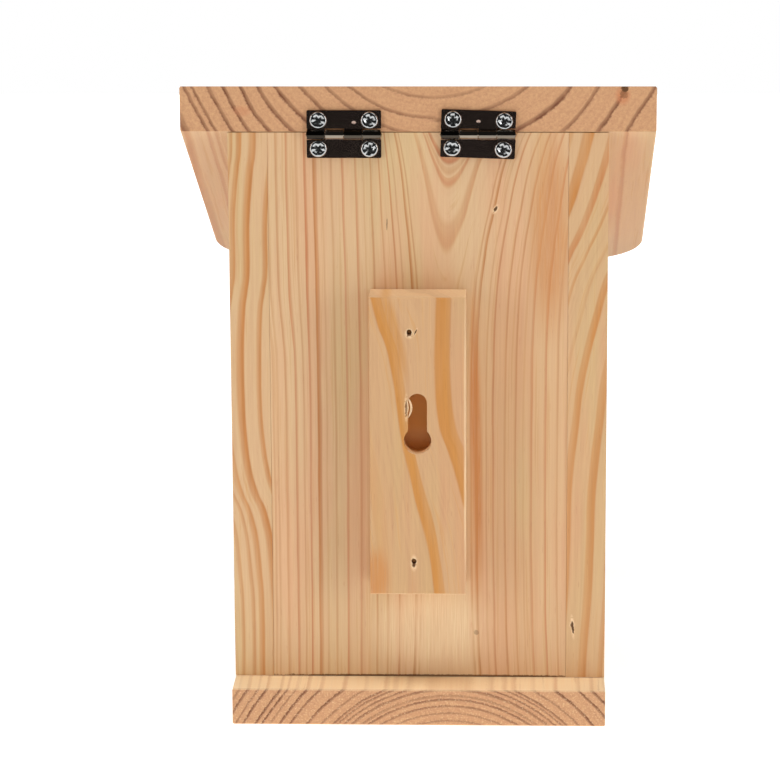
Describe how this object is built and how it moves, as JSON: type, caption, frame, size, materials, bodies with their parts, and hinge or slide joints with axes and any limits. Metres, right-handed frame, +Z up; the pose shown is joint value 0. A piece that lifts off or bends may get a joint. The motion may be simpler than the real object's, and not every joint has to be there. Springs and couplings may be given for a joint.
{
  "type": "squirrel feeder box",
  "caption": "Wooden squirrel feeder box with a sloping hinged lid, a clear front window, a feeding ledge and a keyhole hanger block on its back.",
  "frame": {"origin": "centre of the floor board's underside, which is also the bottom centre of the whole box", "axes": "+Z up; +Y out of the back, where the hinges and the hanger block are; +X to the left of someone who looks at the back"},
  "size_m": [0.1672, 0.206, 0.2292],
  "materials": {
    "pine": "bare planed pine, matt",
    "pine_end_grain": "sawn end grain, matt",
    "hinge_nickel": "polished nickel plate",
    "screw_zinc": "bright zinc plate",
    "brad_steel": "dull steel",
    "clear_sheet": "clear acrylic, glossy"
  },
  "bodies": {
    "box": {"floor_board": "pine_end_grain", "left_side_panel": "pine", "right_side_panel": "pine", "back_panel": "pine", "hanger_block": "pine", "left_hinge_panel_leaf": "hinge_nickel", "left_hinge_pin": "hinge_nickel", "right_hinge_panel_leaf": "hinge_nickel", "right_hinge_pin": "hinge_nickel", "left_hinge_panel_screw_1": "screw_zinc", "left_hinge_panel_screw_2": "screw_zinc", "right_hinge_panel_screw_1": "screw_zinc", "right_hinge_panel_screw_2": "screw_zinc", "left_side_brad_1": "brad_steel", "left_side_brad_2": "brad_steel", "left_side_brad_3": "brad_steel", "right_side_brad_1": "brad_steel", "right_side_brad_2": "brad_steel", "right_side_brad_3": "brad_steel", "left_floor_brad_1": "brad_steel", "left_floor_brad_2": "brad_steel", "right_floor_brad_1": "brad_steel", "right_floor_brad_2": "brad_steel", "left_back_floor_brad": "brad_steel", "right_back_floor_brad": "brad_steel", "upper_hanger_brad": "brad_steel", "lower_hanger_brad": "brad_steel"},
    "window": {"front_window": "clear_sheet"},
    "lid": {"lid_board": "pine_end_grain", "left_hinge_lid_leaf": "hinge_nickel", "right_hinge_lid_leaf": "hinge_nickel", "left_hinge_lid_screw_1": "screw_zinc", "left_hinge_lid_screw_2": "screw_zinc", "right_hinge_lid_screw_1": "screw_zinc", "right_hinge_lid_screw_2": "screw_zinc"}
  },
  "joints": [
    {"name": "lid_hinge", "type": "hinge", "parent": "box", "child": "lid", "pos_m": [0, 0.08885, 0.2124], "axis": [-1, 0, 0], "range_deg": [0, 150]},
    {"name": "window_slide", "type": "slide", "parent": "box", "child": "window", "axis": [0, 0, 1], "range_m": [0, 0.01]}
  ]
}
